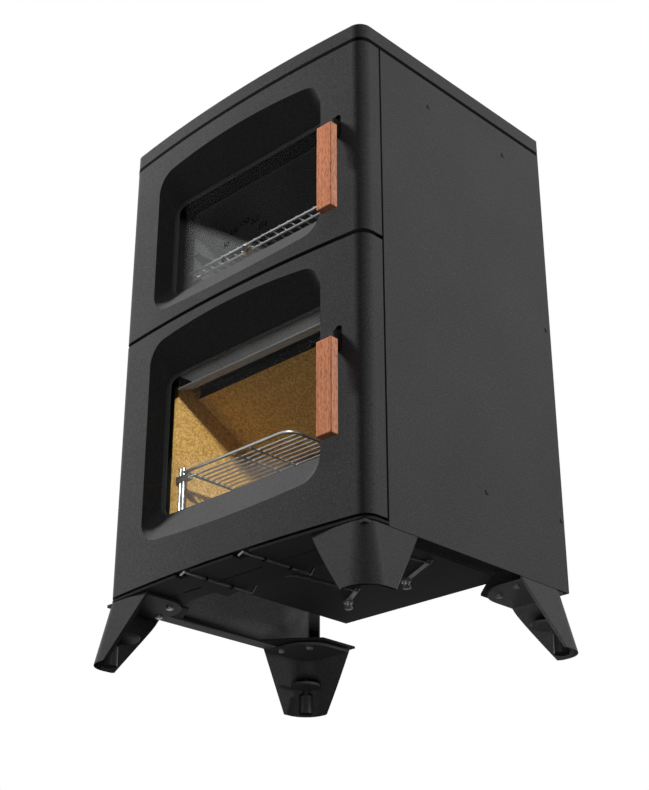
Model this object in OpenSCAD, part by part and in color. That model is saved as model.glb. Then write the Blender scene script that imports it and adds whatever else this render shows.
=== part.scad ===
// Free-standing wood cookstove with an oven above the firebox, built from separate pieces.
// Millimetres. X runs across the stove, the front faces -Y, Z is up and the feet stand on z = 0.
// Depths are written from the foremost point of the bowed front, then shifted by mid_y.

/* [Body] */
// Width across the side panels
body_w = 600; // [500:1:700]
// Depth from the bowed front to the back of the side panels
body_d = 507; // [420:1:600]
// Height of the lower edge of the side panels
panel_z = 105; // [80:1:140]
// Height of the lower face of the top plate
top_z = 974; // [850:1:1100]
// Thickness of the top plate with its skirt
top_t = 33; // [20:1:50]
// Radius of the wide curve of the front
bow_r = 2801; // [1500:1:5000]
// Radius of the two upright front corners
corner_r = 23; // [10:1:40]
// Sheet thickness of the outer panels
skin = 3; // [1.5:0.5:5]

/* [Doors] */
// Lower edge of the fire door
fire_z0 = 116; // [110:1:130]
// Upper edge of the fire door
fire_z1 = 591.5; // [550:0.5:640]
// Lower edge of the oven door
oven_z0 = 599; // [560:0.5:650]
// Upper edge of the oven door
oven_z1 = 973.4; // [900:0.1:1090]
// How far the door skins wrap round the sides
wrap_y = 58.6; // [45:0.1:70]
// Where the side panels start
side_y = 62.6; // [50:0.1:80]
// Distance from the side of the stove to the window recess
recess_in = 87; // [60:1:120]
// How far the sides of the recess slope inwards
recess_slope = 10; // [0:1:30]
// Depth of the inner edge of the recess
sight_y = 41; // [30:1:50]
// Lower and upper edge of the oven recess at the front surface
oven_recess = [620, 932]; // [600:1:960]
// Lower and upper edge of the oven window at the inner edge
oven_sight = [675, 871]; // [640:1:900]
// Lower and upper edge of the fire recess at the front surface
fire_recess = [181, 573]; // [150:1:585]
// Lower and upper edge of the fire window at the inner edge
fire_sight = [244, 512]; // [200:1:540]
// Corner radius of the recess at the front surface
recess_r = 42; // [20:1:60]
// Corner radius of the recess at its inner edge
sight_r = 22; // [10:1:40]
// Thickness of the window glass
glass_t = 4; // [3:0.5:6]

/* [Hinges] */
// Distance from the left side to the hinge line
hinge_in = 12; // [8:1:20]
// Depth of the hinge line
hinge_y = 30; // [24:1:36]
// Radius of the hinge pins
pin_r = 4; // [3:0.5:6]
// Radial running clearance of every turning pin
run_gap = 0.05; // [0.01:0.01:0.1]

/* [Handles] */
// Distance from the right side to the middle of both handles
grip_in = 52; // [40:1:70]
// Upper end of the oven grip
oven_grip_top = 799; // [760:1:840]
// Upper end of the fire grip
fire_grip_top = 401; // [360:1:440]
// Length of each wooden grip
grip_len = 161; // [120:1:200]
// Width of each wooden grip
grip_w = 31; // [24:1:40]
// Depth of each wooden grip
grip_t = 16; // [12:1:24]
// Front face of the grips
grip_y = -23; // [-30:1:-15]
// Thickness of the handle lever
lever_t = 8; // [5:1:10]
// Width of the slot in the door
slot_w = 13; // [10:1:16]

/* [Legs] */
// Length of each leg wing at the top
leg_top = 110; // [80:1:130]
// Length of each leg wing at the bottom
leg_low = 52; // [40:1:80]
// Sideways and fore-and-aft splay of each leg
leg_splay = [24, 20]; // [0:1:40]
// Sheet thickness of the legs
leg_t = 4; // [3:0.5:6]
// Radius of the levelling feet
foot_r = 12.5; // [9:0.5:18]

/* [Oven] */
// Smoke space between the oven and the inner case on each side
smoke_gap = 28; // [15:1:50]
// Floor and ceiling of the oven
oven_in = [655, 885]; // [620:1:900]
// Distance from the back of the oven to the back of the stove
oven_rear = 77; // [50:1:140]
// Height of the oven rack
rack_z = 745; // [700:1:830]
// Wire radius of the rack
wire_r = 2.5; // [2:0.5:4]

/* [Firebox] */
// Space between the outer panels and the inner case on each side
case_gap = 48; // [30:1:70]
// Thickness of the fire bricks
brick_t = 30; // [20:1:40]
// Distance from the face of the back brick to the back of the stove
brick_rear = 117; // [80:1:180]
// Height of the hearth shelf that carries bricks and grate
hearth_z = 204; // [180:1:230]
// Ledge of the hearth shelf beside the ash box
ash_ledge = 69; // [45:1:110]
// Lower face of the ash box
ash_z = 150; // [140:1:170]
// Height of the cooking grill in the firebox
grill_z = 335; // [300:1:380]
// Inner radius of the flue collar
flue_r = 75; // [60:1:80]

/* [Output] */
// Which piece is drawn, or all of them

/* [Hidden] */
$fn = 64;
cut = 1;                                   // how far every cutting shape runs past its face
half_w = body_w / 2;
leg_x = half_w - 1;                        // outer corner of the right front leg at its top
leg_y = 11;
leg_r = [26, 42];                          // corner radius of a leg at its top and bottom
mid_y = (grip_y + body_d + leg_splay[1] - leg_y) / 2;
corner_x = half_w - corner_r;
corner_y = bow_r - sqrt(pow(bow_r - corner_r, 2) - pow(corner_x, 2));
base_t = 4;
lip_t = 2.5;                               // lower return of the side panels
base_z = panel_z + lip_t;                  // lower face of the base plate
frame_y = 66;                              // front face of the front frame
frame_t = 4;
case_t = 4;
case_w = half_w - case_gap;                // half width of the inner case
case_y = [70, body_d - 9];
case_top = top_z - 2;
hinge_x = hinge_in - half_w;
grip_x = half_w - grip_in;
recess_w = half_w - recess_in;
sight_w = recess_w - recess_slope;
oven_w = case_w - case_t - smoke_gap;
oven_back = body_d - oven_rear;
brick_w = case_w - case_t - 5 - brick_t;
brick_back = body_d - brick_rear;
brick_top = 560;
ash_w = case_w - ash_ledge;
ash_back = body_d - 27;
mouth_fire = [hearth_z, 530];
mouth_oven = [660, oven_in[1]];
mouth_w = recess_w + 2;
glass_y = sight_y + 1;
plate_y = glass_y + glass_t;               // front face of the inner door plate
plate_t = 3;
rope = 12;                                 // section of the door seal
seal_y = frame_y - 0.4;                    // back of the seal, just clear of the front frame
pivot_y = 28;                              // depth of the handle pivots
pivot_up = 10;                             // handle pivot above the top of its grip
lever_pin_r = 3;
ear_in = 7;                                // half distance between the ears of each catch
catch_y = 54;
catch_r = 4;
lug_h = 16;                                // height of the hinge lugs
flue_at = [0, body_d - 112];
foot_at = [half_w - 8, 22];
gauge_at = [-9.4, 697.9];                  // thermometer hub
damper_at = [[-79, body_d - 131], [71, body_d - 147]];  // damper pivots under the ash box
rod_end = [[-20, body_d - 170], [165, body_d - 194]];  // pins at the rear ends of the air rods
rod_travel = 20;
rod_r = 1.8;
rod_z = base_z - rod_r - 0.4;
rod_x = [-74, 62];
rod_pin_r = 1.5;
damper_z = ash_z - 4.6;                    // lower face of both dampers
damper_t = 2.5;
ear = 0.3;                                 // gap kept between faces that turn past each other

painted = [0.28, 0.28, 0.29];
dark = [0.12, 0.12, 0.125];
cast = [0.2, 0.2, 0.2];
bare = [0.72, 0.72, 0.72];
wood = [0.75, 0.45, 0.33];
clay = [0.84, 0.65, 0.3];
clear = [0.15, 0.17, 0.18];
brass = [0.72, 0.55, 0.28];

// Moves a piece from depths behind the front to the middle of the stove
module place() translate([0, -mid_y, 0]) children();

// Outline of the stove seen from above, drawn in by a distance
module plan(inset = 0) {
    r = corner_r - inset;
    tangent_x = corner_x * bow_r / (bow_r - corner_r);
    intersection() {
        translate([0, bow_r]) circle(r = bow_r - inset, $fn = 720);
        translate([-tangent_x, 0]) square([2 * tangent_x, body_d - inset]);
    }
    for (s = [-1, 1]) translate([s * corner_x, corner_y]) circle(r = r);
    translate([inset - half_w, corner_y]) square([body_w - 2 * inset, body_d - inset - corner_y]);
}

// Upright band of the outline between two depths
module band(z0, z1, y0, y1, inset = 0) {
    translate([0, 0, z0]) linear_extrude(z1 - z0) intersection() {
        plan(inset);
        translate([-half_w, y0]) square([body_w, y1 - y0]);
    }
}

// Shell of the outline between two depths
module shell(z0, z1, y0, y1, t = skin) {
    translate([0, 0, z0]) linear_extrude(z1 - z0) intersection() {
        difference() {
            plan();
            plan(t);
        }
        translate([-half_w, y0]) square([body_w, y1 - y0]);
    }
}

// Upright slab from x0, y0, z0 to x1, y1, z1
module slab(x0, x1, y0, y1, z0, z1) translate([x0, y0, z0]) cube([x1 - x0, y1 - y0, z1 - z0]);

// Rounded rectangle standing in the XZ plane between two depths
module pane(w, z0, z1, r, y0, y1) {
    translate([0, y1, 0]) rotate([90, 0, 0]) linear_extrude(y1 - y0) {
        translate([-w, z0 + r]) square([2 * w, z1 - z0 - 2 * r]);
        translate([-w + r, z0]) square([2 * w - 2 * r, z1 - z0]);
        for (x = [-w + r, w - r], z = [z0 + r, z1 - r]) translate([x, z]) circle(r = r);
    }
}

// Bevelled recess from the front surface in to the glass, grown by g
module funnel(outer, inner, g = 0) {
    slope = sight_y + 10;
    grow = 10 / sight_y;
    dw = (recess_w - sight_w) * grow;
    dz = [(inner[0] - outer[0]) * grow, (outer[1] - inner[1]) * grow];
    hull() {
        pane(recess_w + dw + g, outer[0] - dz[0] - g, outer[1] + dz[1] + g, recess_r + g + 4, -10, -9.5,
            $fn = 40);
        pane(sight_w + g, inner[0] - g, inner[1] + g, sight_r + g, sight_y - 0.5, sight_y, $fn = 40);
    }
}

// Handle slot through the door skin
module handle_slot(top) {
    slot_z = [top - pivot_up, top + 36];
    w = slot_w / 2;
    translate([grip_x, 0, 0]) pane(w, slot_z[0], slot_z[1], w - 0.5, -cut, 30);
}

// One door panel: skin, returned edges, bevelled recess, hinge lugs and handle lugs
module door_panel(z0, z1, outer, inner, top) {
    pivot_z = top + pivot_up;
    lug_x = lever_t / 2 + 1;
    lug_w = 4;
    lug_y = bow_r - sqrt(pow(bow_r, 2) - pow(grip_x, 2)) + 1;
    difference() {
        union() {
            shell(z0, z1, 0, wrap_y);
            difference() {
                for (z = [z0, z1 - skin]) band(z, z + skin, 0, wrap_y - 8, 1);
                funnel(outer, inner);
            }
            intersection() {
                funnel(outer, inner, skin);
                band(z0, z1, 0, sight_y + cut);
            }
            for (z = [z0, z1 - lug_h]) translate([0, 0, z]) linear_extrude(lug_h) intersection() {
                plan(1);
                translate([-half_w, 10]) square([half_w + hinge_x + 16, wrap_y - 12]);
            }
            for (s = [-1, 1]) slab(grip_x + s * (lug_x + lug_w / 2) - lug_w / 2,
                grip_x + s * (lug_x + lug_w / 2) + lug_w / 2, lug_y, pivot_y + 10,
                pivot_z - 11, pivot_z + 11);
        }
        funnel(outer, inner);
        handle_slot(top);
        translate([grip_x - 30, pivot_y, pivot_z]) rotate([0, 90, 0]) cylinder(r = lever_pin_r, h = 60);
        for (z = [z0 - cut, z1 - lug_h - cut]) translate([hinge_x, hinge_y, z])
            cylinder(r = pin_r + run_gap, h = lug_h + 2 * cut);
    }
}

// Window glass behind the recess
module window_glass(inner) pane(sight_w + 8, inner[0] - 8, inner[1] + 8, 12, glass_y, glass_y + glass_t);

// Inner door plate that clamps the glass; it reaches down or up to the seal
module glass_frame(inner, edge) {
    difference() {
        union() {
            pane(plate_w(), edge[0], edge[1], 10, plate_y, plate_y + plate_t);
            difference() {
                pane(sight_w + 14, inner[0] - 14, inner[1] + 14, 14, sight_y, plate_y + cut);
                pane(sight_w + 8.3, inner[0] - 8.3, inner[1] + 8.3, 12.3, sight_y - cut, plate_y + 2 * cut);
            }
        }
        pane(sight_w - 4, inner[0] + 4, inner[1] - 4, 16, sight_y - cut, plate_y + plate_t + cut);
    }
}
function plate_w() = mouth_w + 2 + rope + 5;

// Rope seal that closes on the front frame round a mouth
module door_seal(z0, z1) {
    w = mouth_w + 4;
    difference() {
        pane(w + rope, z0 - rope, z1 + rope, 22, plate_y + plate_t, seal_y);
        pane(w, z0, z1, 10, plate_y, seal_y + cut);
    }
}

// Handle lever in side view: arm through the slot, hub on the pin, nose under the catch roller
module handle_lever(top) {
    pivot_z = top + pivot_up;
    translate([grip_x - lever_t / 2, pivot_y, pivot_z]) rotate([90, 0, 90]) linear_extrude(lever_t)
        difference() {
            union() {
                circle(r = 7);
                polygon([[-35, -60], [-30, -60], [-27, -26], [-23, -18], [-8, -16], [8, -13],
                    [32, -14], [34, -11], [34, -7], [31, -4.5], [12, -4.5], [3, 6], [-14, 13],
                    [-28, 14], [-35, 8]]);
            }
            circle(r = lever_pin_r + run_gap);
        }
}

// Wooden grip with rounded edges and a groove for the lever
module wood_grip(top) {
    r = 6;
    difference() {
        intersection() {
            translate([grip_x, grip_y, top - grip_len]) linear_extrude(grip_len) {
                translate([-grip_w / 2 + r, 0]) square([grip_w - 2 * r, grip_t]);
                translate([-grip_w / 2, r]) square([grip_w, grip_t - 2 * r]);
                for (x = [r - grip_w / 2, grip_w / 2 - r], y = [r, grip_t - r])
                    translate([x, y]) circle(r = r);
            }
            translate([grip_x, 0, 0])
                pane(grip_w / 2, top - grip_len, top, r, grip_y - cut, grip_y + grip_t + cut);
        }
        slab(grip_x - lever_t / 2, grip_x + lever_t / 2, grip_y + grip_t - 8, grip_y + grip_t + cut,
            top - 60, top + cut);
    }
}

// Pin that carries a handle lever
module lever_pin(top) translate([grip_x - 14, pivot_y, top + pivot_up]) rotate([0, 90, 0])
    cylinder(r = lever_pin_r, h = 28);

// Slice of one leg at a height, with its outer corner rounded, and the block between two slices
module leg_slice(shift, z, over) {
    low = (panel_z - z) / panel_z;
    r = leg_r[0] + (leg_r[1] - leg_r[0]) * low - shift;
    w = leg_top + (leg_low - leg_top) * low + over;
    translate([leg_x + leg_splay[0] * low - shift, leg_y - leg_splay[1] * low + shift, z])
        linear_extrude(0.5) {
            translate([-w, 0]) square([w - r, w + 6]);
            translate([-w, r]) square([w, w + 6 - r]);
            translate([-r, r]) circle(r = r);
        }
}
module leg_block(shift, z0, z1, over = 0) hull() {
    leg_slice(shift, z0, over);
    leg_slice(shift, z1 - 0.5, over);
}

// One folded leg with its flange, foot plate and screw holes, drawn at the front right
module leg() {
    stand_z = 45;
    flange_r = 60;
    flange_w = leg_top - 4;
    edge = 2;                              // how far flange and foot plate reach into the walls
    difference() {
        union() {
            difference() {
                leg_block(0, 0, panel_z);
                leg_block(leg_t, -8, panel_z + 8, 60);
            }
            translate([leg_x - edge - flange_w, leg_y + edge, panel_z - 5]) linear_extrude(4.8)
                intersection() {
                    square(flange_w);
                    union() {
                        translate([flange_r, flange_w - flange_r]) circle(r = flange_r);
                        square([flange_w, flange_w - flange_r]);
                        translate([flange_r, 0]) square(flange_w);
                    }
                }
            translate([half_w - 31, 5, stand_z]) linear_extrude(5) {
                square([10, 42]);
                translate([0, 32]) square([41, 10]);
                translate([9, 32]) circle(r = 27);
            }
        }
        for (p = leg_screw_at()) translate([p[0], p[1], panel_z - 10]) cylinder(r = 3.5, h = 12);
        translate([foot_at[0], foot_at[1], stand_z - cut]) cylinder(r = 5, h = 8);
    }
}
function leg_screw_at() = [[half_w - 80, 85.5], [half_w - 28, 106]];
module at_leg(side, end) translate([0, end > 0 ? body_d : 0, 0])
    mirror([side < 0 ? 1 : 0, 0, 0]) mirror([0, end > 0 ? 1 : 0, 0]) children();

// Levelling foot with its stud, screwed in by some height
module foot(up) translate([foot_at[0], foot_at[1], up]) {
    cylinder(r = foot_r, h = 33 - up);
    cylinder(r = 4.95, h = 68 - up);
    translate([0, 0, 50 - up]) cylinder(r = 9, h = 8, $fn = 6);
}

module top_plate() color(painted) place() difference() {
    union() {
        difference() {
            translate([0, 0, top_z]) linear_extrude(top_t) plan();
            translate([0, 0, top_z - cut]) linear_extrude(top_t - 6 + cut) plan(5);
        }
        intersection() {
            band(top_z, top_z + top_t - 3, 12, 48, 2);
            slab(-half_w, hinge_x + 20, 0, 60, top_z, top_z + top_t);
        }
        translate([flue_at[0], flue_at[1], top_z]) cylinder(r = flue_r + 14, h = top_t - 1);
    }
    translate([hinge_x, hinge_y, top_z - cut]) cylinder(r = pin_r, h = 17);
    translate([flue_at[0], flue_at[1], top_z - cut]) cylinder(r = flue_r, h = top_t + 2 * cut);
    translate([flue_at[0], flue_at[1], top_z + top_t - 3]) cylinder(r = flue_r + 7, h = 3 + cut);
}

module flue_collar() color(cast) place() translate([flue_at[0], flue_at[1], top_z + top_t - 3])
    rotate_extrude($fn = 96) polygon([[flue_r, 0], [flue_r + 7, 0], [flue_r + 7, 6],
        [flue_r + 4, 9], [flue_r + 4, 38], [flue_r + 3, 39], [flue_r, 39]]);

// One side panel with its lower, upper and rear returns
module side_panel(s) color(painted) place() {
    mirror([s < 0 ? 1 : 0, 0, 0]) intersection() {
        union() {
            shell(panel_z, top_z, side_y, body_d);
            band(panel_z, panel_z + lip_t, side_y, body_d);
            band(top_z - skin, top_z, side_y, body_d);
            slab(0, half_w - 1, body_d - skin, body_d, panel_z, top_z);
        }
        slab(half_w - 23, half_w + cut, 0, body_d + cut, 0, top_z + cut);
    }
}
module side_panel_left() side_panel(-1);
module side_panel_right() side_panel(1);

// Plugs in the unused fixing holes of the side panels
module panel_plugs() color(bare) place() {
    holes = [[body_d - 320, 918], [body_d - 111, 920], [body_d - 208, 225.5], [body_d - 12, 593],
        [body_d - 7, 231]];
    for (s = [0, 1], p = holes) mirror([s, 0, 0]) translate([half_w, p[0], p[1]])
        rotate([0, 90, 0]) rotate_extrude($fn = 32)
            polygon([[0, 0], [4.5, 0], [4.5, 0.6], [3.2, 1.8], [0, 2.2]]);
}

module back_panel() color(painted) place() difference() {
    slab(2 * skin - half_w, half_w - 2 * skin, body_d - skin - 2, body_d - skin - 0.02, hearth_z + 12,
        top_z - skin - 0.2);
    for (x = [-1, 1], z = [0:8]) translate([x * 150, body_d, 520 + z * 24]) rotate([90, 0, 0])
        linear_extrude(12) {
            square([70, 5], center = true);
            for (e = [-35, 35]) translate([e, 0]) circle(r = 2.5, $fn = 24);
        }
}

// Base plate: front strip with notches and slits, side rails and rear gussets
module base_frame() color(dark) place() translate([0, 0, base_z]) linear_extrude(base_t) difference() {
    union() {
        intersection() {
            plan();
            translate([-half_w, 0]) square([body_w, side_y]);
        }
        intersection() {
            plan(skin);
            difference() {
                translate([-half_w, 20]) square([body_w, body_d]);
                for (s = [0, 1]) mirror([s, 0]) polygon([[-cut, 122], [94, 122], [122, 130],
                    [122, 99], [half_w - 77, 99], [half_w - 77, 130], [half_w - 26, 160],
                    [half_w - 26, body_d - 157], [half_w - 77, body_d - 122],
                    [ash_w, body_d - 87], [ash_w, body_d + cut], [-cut, body_d + cut]]);
            }
        }
    }
    for (x = [-91, 47]) translate([x - 18.5, -cut]) square([37, 15 + cut]);
    for (s = [[-205, -175], [-159, -116], [-73, 28], [68, 148]]) translate([s[0], 62])
        square([s[1] - s[0], 5]);
    for (e = [-1, 1], s = [-1, 1], p = leg_screw_at())
        translate([s * p[0], e > 0 ? body_d - p[1] : p[1]]) circle(r = 3.5);
    translate([hinge_x, hinge_y]) circle(r = pin_r);
}

// Plate behind the doors with the mouths of oven, firebox and ash box
module front_frame() color(dark) place() {
    difference() {
        slab(skin - half_w, half_w - skin, frame_y, frame_y + frame_t, base_z + base_t, top_z - skin - 1);
        pane(mouth_w, mouth_oven[0], mouth_oven[1], 12, frame_y - cut, frame_y + frame_t + cut);
        pane(mouth_w, mouth_fire[0], mouth_fire[1], 12, frame_y - cut, frame_y + frame_t + cut);
        slab(-ash_w + 4, ash_w - 4, frame_y - cut, frame_y + frame_t + cut, ash_z + 3, hearth_z + 20);
    }
    difference() {
        pane(mouth_w, mouth_oven[0], mouth_oven[1], 12, frame_y + 1, 99);
        pane(mouth_w - 2, mouth_oven[0] + 2, mouth_oven[1] - 2, 10, frame_y, 100);
    }
}

// Inner case welded from plates round oven and firebox, with the smoke space between
module case_side(s) color(dark) place() mirror([s < 0 ? 1 : 0, 0, 0])
    slab(case_w - case_t, case_w, case_y[0], case_y[1], hearth_z - case_t, case_top - case_t);
module case_left() case_side(-1);
module case_right() case_side(1);
module case_back() color(dark) place() slab(case_t - case_w, case_w - case_t, case_y[1] - case_t,
    case_y[1], hearth_z, case_top - case_t);
module case_top_plate() color(dark) place() difference() {
    slab(-case_w, case_w, case_y[0], case_y[1], case_top - case_t, case_top);
    translate([flue_at[0], flue_at[1], case_top - case_t - cut]) cylinder(r = flue_r, h = case_t + 2 * cut);
}
module hearth_shelf() color(dark) place() difference() {
    slab(case_t - case_w, case_w - case_t, case_y[0], case_y[1] - case_t, hearth_z - case_t, hearth_z);
    slab(3 - ash_w, ash_w - 3, case_y[0] - cut, ash_back - 3, hearth_z - case_t - cut, hearth_z + cut);
}
module ash_box() color(dark) place() difference() {
    slab(-ash_w, ash_w, case_y[0], ash_back, ash_z, hearth_z - case_t);
    slab(3 - ash_w, ash_w - 3, case_y[0] - cut, ash_back - 3, ash_z + 3, hearth_z + cut);
}

// Oven muffle, open at the front, held off the case by its front edge and two feet
module oven_liner() color(dark) place() {
    t = 2.5;
    difference() {
        slab(-oven_w - t, oven_w + t, 70, oven_back + t, oven_in[0] - t, oven_in[1] + t);
        slab(-oven_w, oven_w, 69, oven_back, oven_in[0], oven_in[1]);
        for (s = [-1, 1]) translate([s * 120, oven_back + 9, 770]) rotate([90, 0, 0])
            cylinder(r = 3, h = 18);
    }
    for (s = [0, 1], y = [120, oven_back - 50]) mirror([s, 0, 0])
        slab(oven_w + t, case_w - case_t, y, y + 12, 700, 706);
}

// Guide rail: three folded runners on two uprights
module oven_rail(s) color(bare) place() mirror([s < 0 ? 1 : 0, 0, 0]) {
    for (z = [rack_z - 6, 797, 846]) {
        slab(oven_w - 20, oven_w, 105, oven_back - 15, z, z + 1.5);
        slab(oven_w - 20, oven_w - 18.5, 105, oven_back - 15, z - 5, z + 1.5);
    }
    for (y = [125, oven_back - 45]) slab(oven_w - 2, oven_w, y, y + 16, 700, 870);
    translate([oven_w - 4, 108, 848]) rotate([0, 90, 0]) cylinder(r = 4, h = 4);
}
module oven_rail_left() oven_rail(-1);
module oven_rail_right() oven_rail(1);

// Wire rack: rim, second front wire and bars from front to back
module oven_rack() color(bare) place() translate([0, 0, rack_z - 6 + 1.5 + wire_r]) {
    w = oven_w - 16;
    y = [86, oven_back - 25];
    for (e = [y[0], 104, 250, y[1]]) translate([-w, e, 0]) rotate([0, 90, 0])
        cylinder(r = wire_r, h = 2 * w, $fn = 24);
    for (s = [-1, 1]) translate([s * w, y[0], 0]) rotate([-90, 0, 0])
        cylinder(r = wire_r, h = y[1] - y[0], $fn = 24);
    for (s = [-1, 1], e = y) translate([s * w, e, 0]) sphere(r = wire_r, $fn = 24);
    bars = 18;
    for (i = [1:bars]) translate([-w + 2 * w * i / (bars + 1), y[0], wire_r * 1.4])
        rotate([-90, 0, 0]) cylinder(r = 1.6, h = y[1] - y[0], $fn = 16);
}

// Side brick in two pieces with its stepped top front corner
module fire_brick(s) color(clay) place() mirror([s < 0 ? 1 : 0, 0, 0])
    translate([brick_w, 0, 0]) rotate([90, 0, 90]) linear_extrude(brick_t) difference() {
        polygon([[78, hearth_z], [brick_back + brick_t, hearth_z], [brick_back + brick_t, brick_top],
            [132, brick_top], [132, 521], [126, 526], [109, 526], [109, 511], [78, 511]]);
        translate([250, hearth_z - cut]) square([1.2, 400]);
    }
module fire_brick_left() fire_brick(-1);
module fire_brick_right() fire_brick(1);
module fire_brick_back() color(clay) place() difference() {
    slab(-brick_w, brick_w, brick_back, brick_back + brick_t, hearth_z, brick_top);
    for (x = [-160:40:160]) translate([x, brick_back - cut, 400]) rotate([-90, 0, 0])
        cylinder(r = 4, h = brick_t + 2 * cut, $fn = 24);
}

// Sloping ceiling of the firebox, high at the front
module baffle() color(clay) place() translate([-brick_w + 0.5, 0, 0]) rotate([90, 0, 90])
    linear_extrude(2 * brick_w - 1) polygon([[125, 500], [234, 444], [287, 408], [300, 408],
        [brick_back - 30, 470], [brick_back - 30, 490], [302, 432], [292, 432], [240, 466], [131, 521]]);

// Folded sheet over the window that sends air down the glass, with its row of slots
module air_wash_deflector() color(bare) place() difference() {
    translate([-mouth_w + 8, 0, 0]) rotate([90, 0, 90]) linear_extrude(2 * mouth_w - 16)
        polygon([[70, 499], [108, 514], [108, 529.5], [70, 529.5], [70, 527], [105.5, 527],
            [105.5, 515.5], [70, 501.5]]);
    slots = floor((mouth_w - 35) / 30);
    for (i = [-slots:slots]) translate([30 * i - 9, 90, 500]) cube([18, 5, 14]);
}

// Cast grate with slots, resting on the hearth shelf
module fire_grate() color(cast) place() difference() {
    union() {
        slab(-brick_w + 1, brick_w - 1, 80, brick_back - 1, hearth_z, hearth_z + 10);
        for (s = [-1, 1]) slab(s * (brick_w - 7) - 5, s * (brick_w - 7) + 5, 82, brick_back - 3,
            hearth_z, hearth_z + 18);
    }
    pitch = 24;
    rows = floor((brick_w - 60) / pitch);
    slot = (brick_back - 170) / 2;
    for (i = [-rows:rows], y = [110, 130 + slot]) translate([i * pitch, y, hearth_z - cut])
        linear_extrude(10 + 2 * cut) {
            translate([-4, 4]) square([8, slot - 8]);
            for (e = [4, slot - 4]) translate([0, e]) circle(r = 4, $fn = 24);
        }
}

// Ash pan with a rolled front handle
module ash_pan() color(dark) place() {
    w = ash_w - 7;
    difference() {
        slab(-w, w, 74, ash_back - 40, ash_z + 3, hearth_z - 10);
        slab(1.5 - w, w - 1.5, 75.5, ash_back - 41.5, ash_z + 4.5, hearth_z);
    }
    difference() {
        slab(-40, 40, 71, 74.5, hearth_z - 24, hearth_z - 12);
        slab(-36, 36, 70, 73, hearth_z - 22, hearth_z - 14);
    }
}

// Grill of round wires in a bent rim, hung on the grill post
module grill() color(bare) place() translate([0, 0, grill_z]) {
    x = [28 - brick_w, 75];
    y = [77, 290];
    r = 3;
    bend = 25;
    translate([x[0], y[0], 0]) rotate([0, 90, 0]) cylinder(r = r, h = x[1] - x[0] - bend, $fn = 24);
    translate([x[0], y[1], 0]) rotate([0, 90, 0]) cylinder(r = r, h = x[1] - x[0] - bend, $fn = 24);
    translate([x[0], y[0], 0]) rotate([-90, 0, 0]) cylinder(r = r, h = y[1] - y[0], $fn = 24);
    translate([x[1], y[0] + bend, 0]) rotate([-90, 0, 0])
        cylinder(r = r, h = y[1] - y[0] - 2 * bend, $fn = 24);
    for (e = [0, 1]) translate([x[1] - bend, e > 0 ? y[1] - bend : y[0] + bend, 0])
        rotate([0, 0, e > 0 ? 0 : -90]) rotate_extrude(angle = 90, $fn = 64)
            translate([bend, 0]) circle(r = r, $fn = 24);
    for (p = [0, 1]) translate([x[0], y[p], 0]) sphere(r = r, $fn = 24);
    for (i = [0:14]) translate([x[0], 98 + i * 12.8, 0]) rotate([0, 90, 0])
        cylinder(r = 1.8, h = x[1] - x[0], $fn = 16);
    for (q = [-60, -20]) translate([q, y[0], -3]) rotate([-90, 0, 0])
        cylinder(r = 1.8, h = y[1] - y[0], $fn = 16);
}

// Upright post and clips that carry the grill at the left of the firebox
module grill_post() color(bare) place() {
    left = 3 - brick_w;
    for (x = [5, 14]) translate([left + x, 84, hearth_z + 18]) {
        cylinder(r = 3, h = grill_z - hearth_z - 6);
        translate([0, 0, grill_z - hearth_z - 6]) sphere(r = 3.2);
    }
    translate([left, 78, grill_z - 12]) cube([32, 12, 9]);
    translate([left, 78, hearth_z + 18]) cube([22, 12, 5]);
}

module leg_front_left() color(dark) place() at_leg(-1, -1) leg();
module leg_front_right() color(dark) place() at_leg(1, -1) leg();
module leg_rear_left() color(dark) place() at_leg(-1, 1) leg();
module leg_rear_right() color(dark) place() at_leg(1, 1) leg();
module levelling_feet() color(bare) place() for (s = [-1, 1], e = [-1, 1])
    at_leg(s, e) foot(s > 0 && e < 0 ? 18 : 0);
module leg_screws() color(bare) place() for (s = [-1, 1], e = [-1, 1], p = leg_screw_at())
    at_leg(s, e) translate([p[0], p[1], panel_z - 8]) {
        cylinder(r = 3, h = 13);
        cylinder(r = 6, h = 3);
        translate([0, 0, -1]) cylinder(r = 4.6, h = 1.5, $fn = 6);
    }

// Plate in the gap between the doors that carries the two middle hinge pins
module hinge_plate() color(dark) place() {
    plate = [fire_z1 + 1.9, oven_z0 - 1.6];
    difference() {
        translate([0, 0, plate[0]]) linear_extrude(plate[1] - plate[0]) intersection() {
            plan(skin + 0.5);
            translate([-half_w, 10]) square([34, frame_y - 10]);
        }
        translate([hinge_x, hinge_y, plate[0] - cut]) cylinder(r = pin_r, h = plate[1] - plate[0] + 2 * cut);
    }
    slab(skin + 1 - half_w, -half_w + 34, frame_y - 4, frame_y, plate[0] - 25, plate[1] + 25);
}

// Hinge pins with their collars: base, middle and top
module hinge_pins() color(bare) place() translate([hinge_x, hinge_y, 0]) {
    base_top = base_z + base_t;
    translate([0, 0, base_top - 2]) cylinder(r = pin_r, h = lug_h + 6);
    translate([0, 0, base_top]) cylinder(r = 7, h = fire_z0 - base_top - ear);
    translate([0, 0, fire_z1 - lug_h + 2]) cylinder(r = pin_r, h = oven_z0 - fire_z1 + 2 * lug_h - 4);
    translate([0, 0, oven_z0 - 1.6]) cylinder(r = 7, h = 1.6 - ear);
    translate([0, 0, oven_z1 - lug_h + 2]) cylinder(r = pin_r, h = lug_h + 14);
}

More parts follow.
